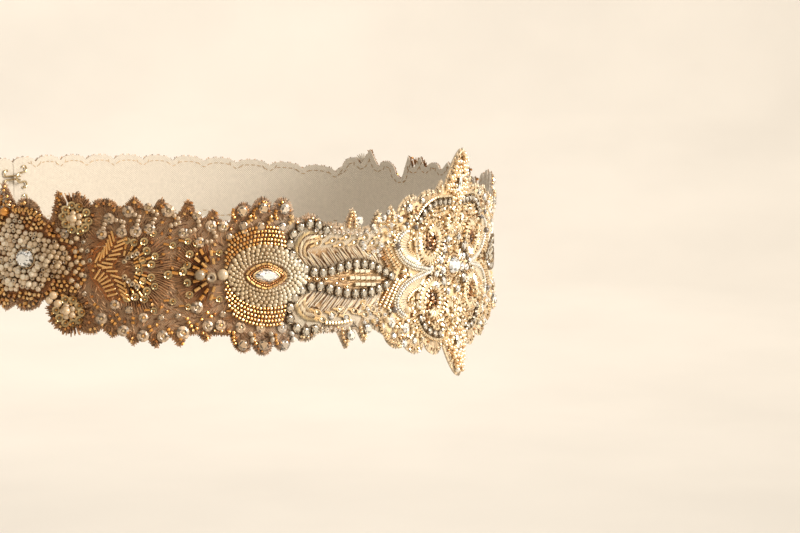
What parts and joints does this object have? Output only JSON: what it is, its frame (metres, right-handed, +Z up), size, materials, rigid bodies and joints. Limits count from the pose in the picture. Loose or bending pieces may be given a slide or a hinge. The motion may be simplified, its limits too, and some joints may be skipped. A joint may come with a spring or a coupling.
{
  "type": "bridal sash",
  "caption": "Beaded and embroidered net bridal sash worn round the waist, with leaf points at the centre front and hooks and eyes at centre back.",
  "frame": {"origin": "middle of the waist that the sash goes round, level with the band's middle line at the sides", "axes": "+Z up; the centre front faces -Y; the wearer's right is -X; the band is lower in front than at the back"},
  "size_m": [0.277, 0.2075, 0.086],
  "materials": {
    "embroidered_net": "net covered with couched metallic thread",
    "metal_thread": "satin-stitched metallic and silk thread",
    "gold_bead": "silver-lined gold glass seed and bugle beads, sequins",
    "seed_pearl": "ivory pearl lustre",
    "crystal": "foil-backed cut glass",
    "antique_setting": "antiqued metal cups",
    "hook_wire": "polished wire"
  },
  "bodies": {
    "root": {"centre_panel": "embroidered_net", "side_panel_right": "embroidered_net", "side_panel_left": "embroidered_net", "flower_panel_right": "embroidered_net", "flower_panel_left": "embroidered_net", "back_panel_right": "embroidered_net", "back_panel_left": "embroidered_net", "centre_stone": "crystal", "eye_stone_right": "crystal", "eye_stone_left": "crystal", "flower_stone_right": "crystal", "flower_stone_left": "crystal", "hook_upper": "hook_wire", "hook_lower": "hook_wire", "eye_upper": "hook_wire", "eye_lower": "hook_wire"}
  },
  "joints": []
}
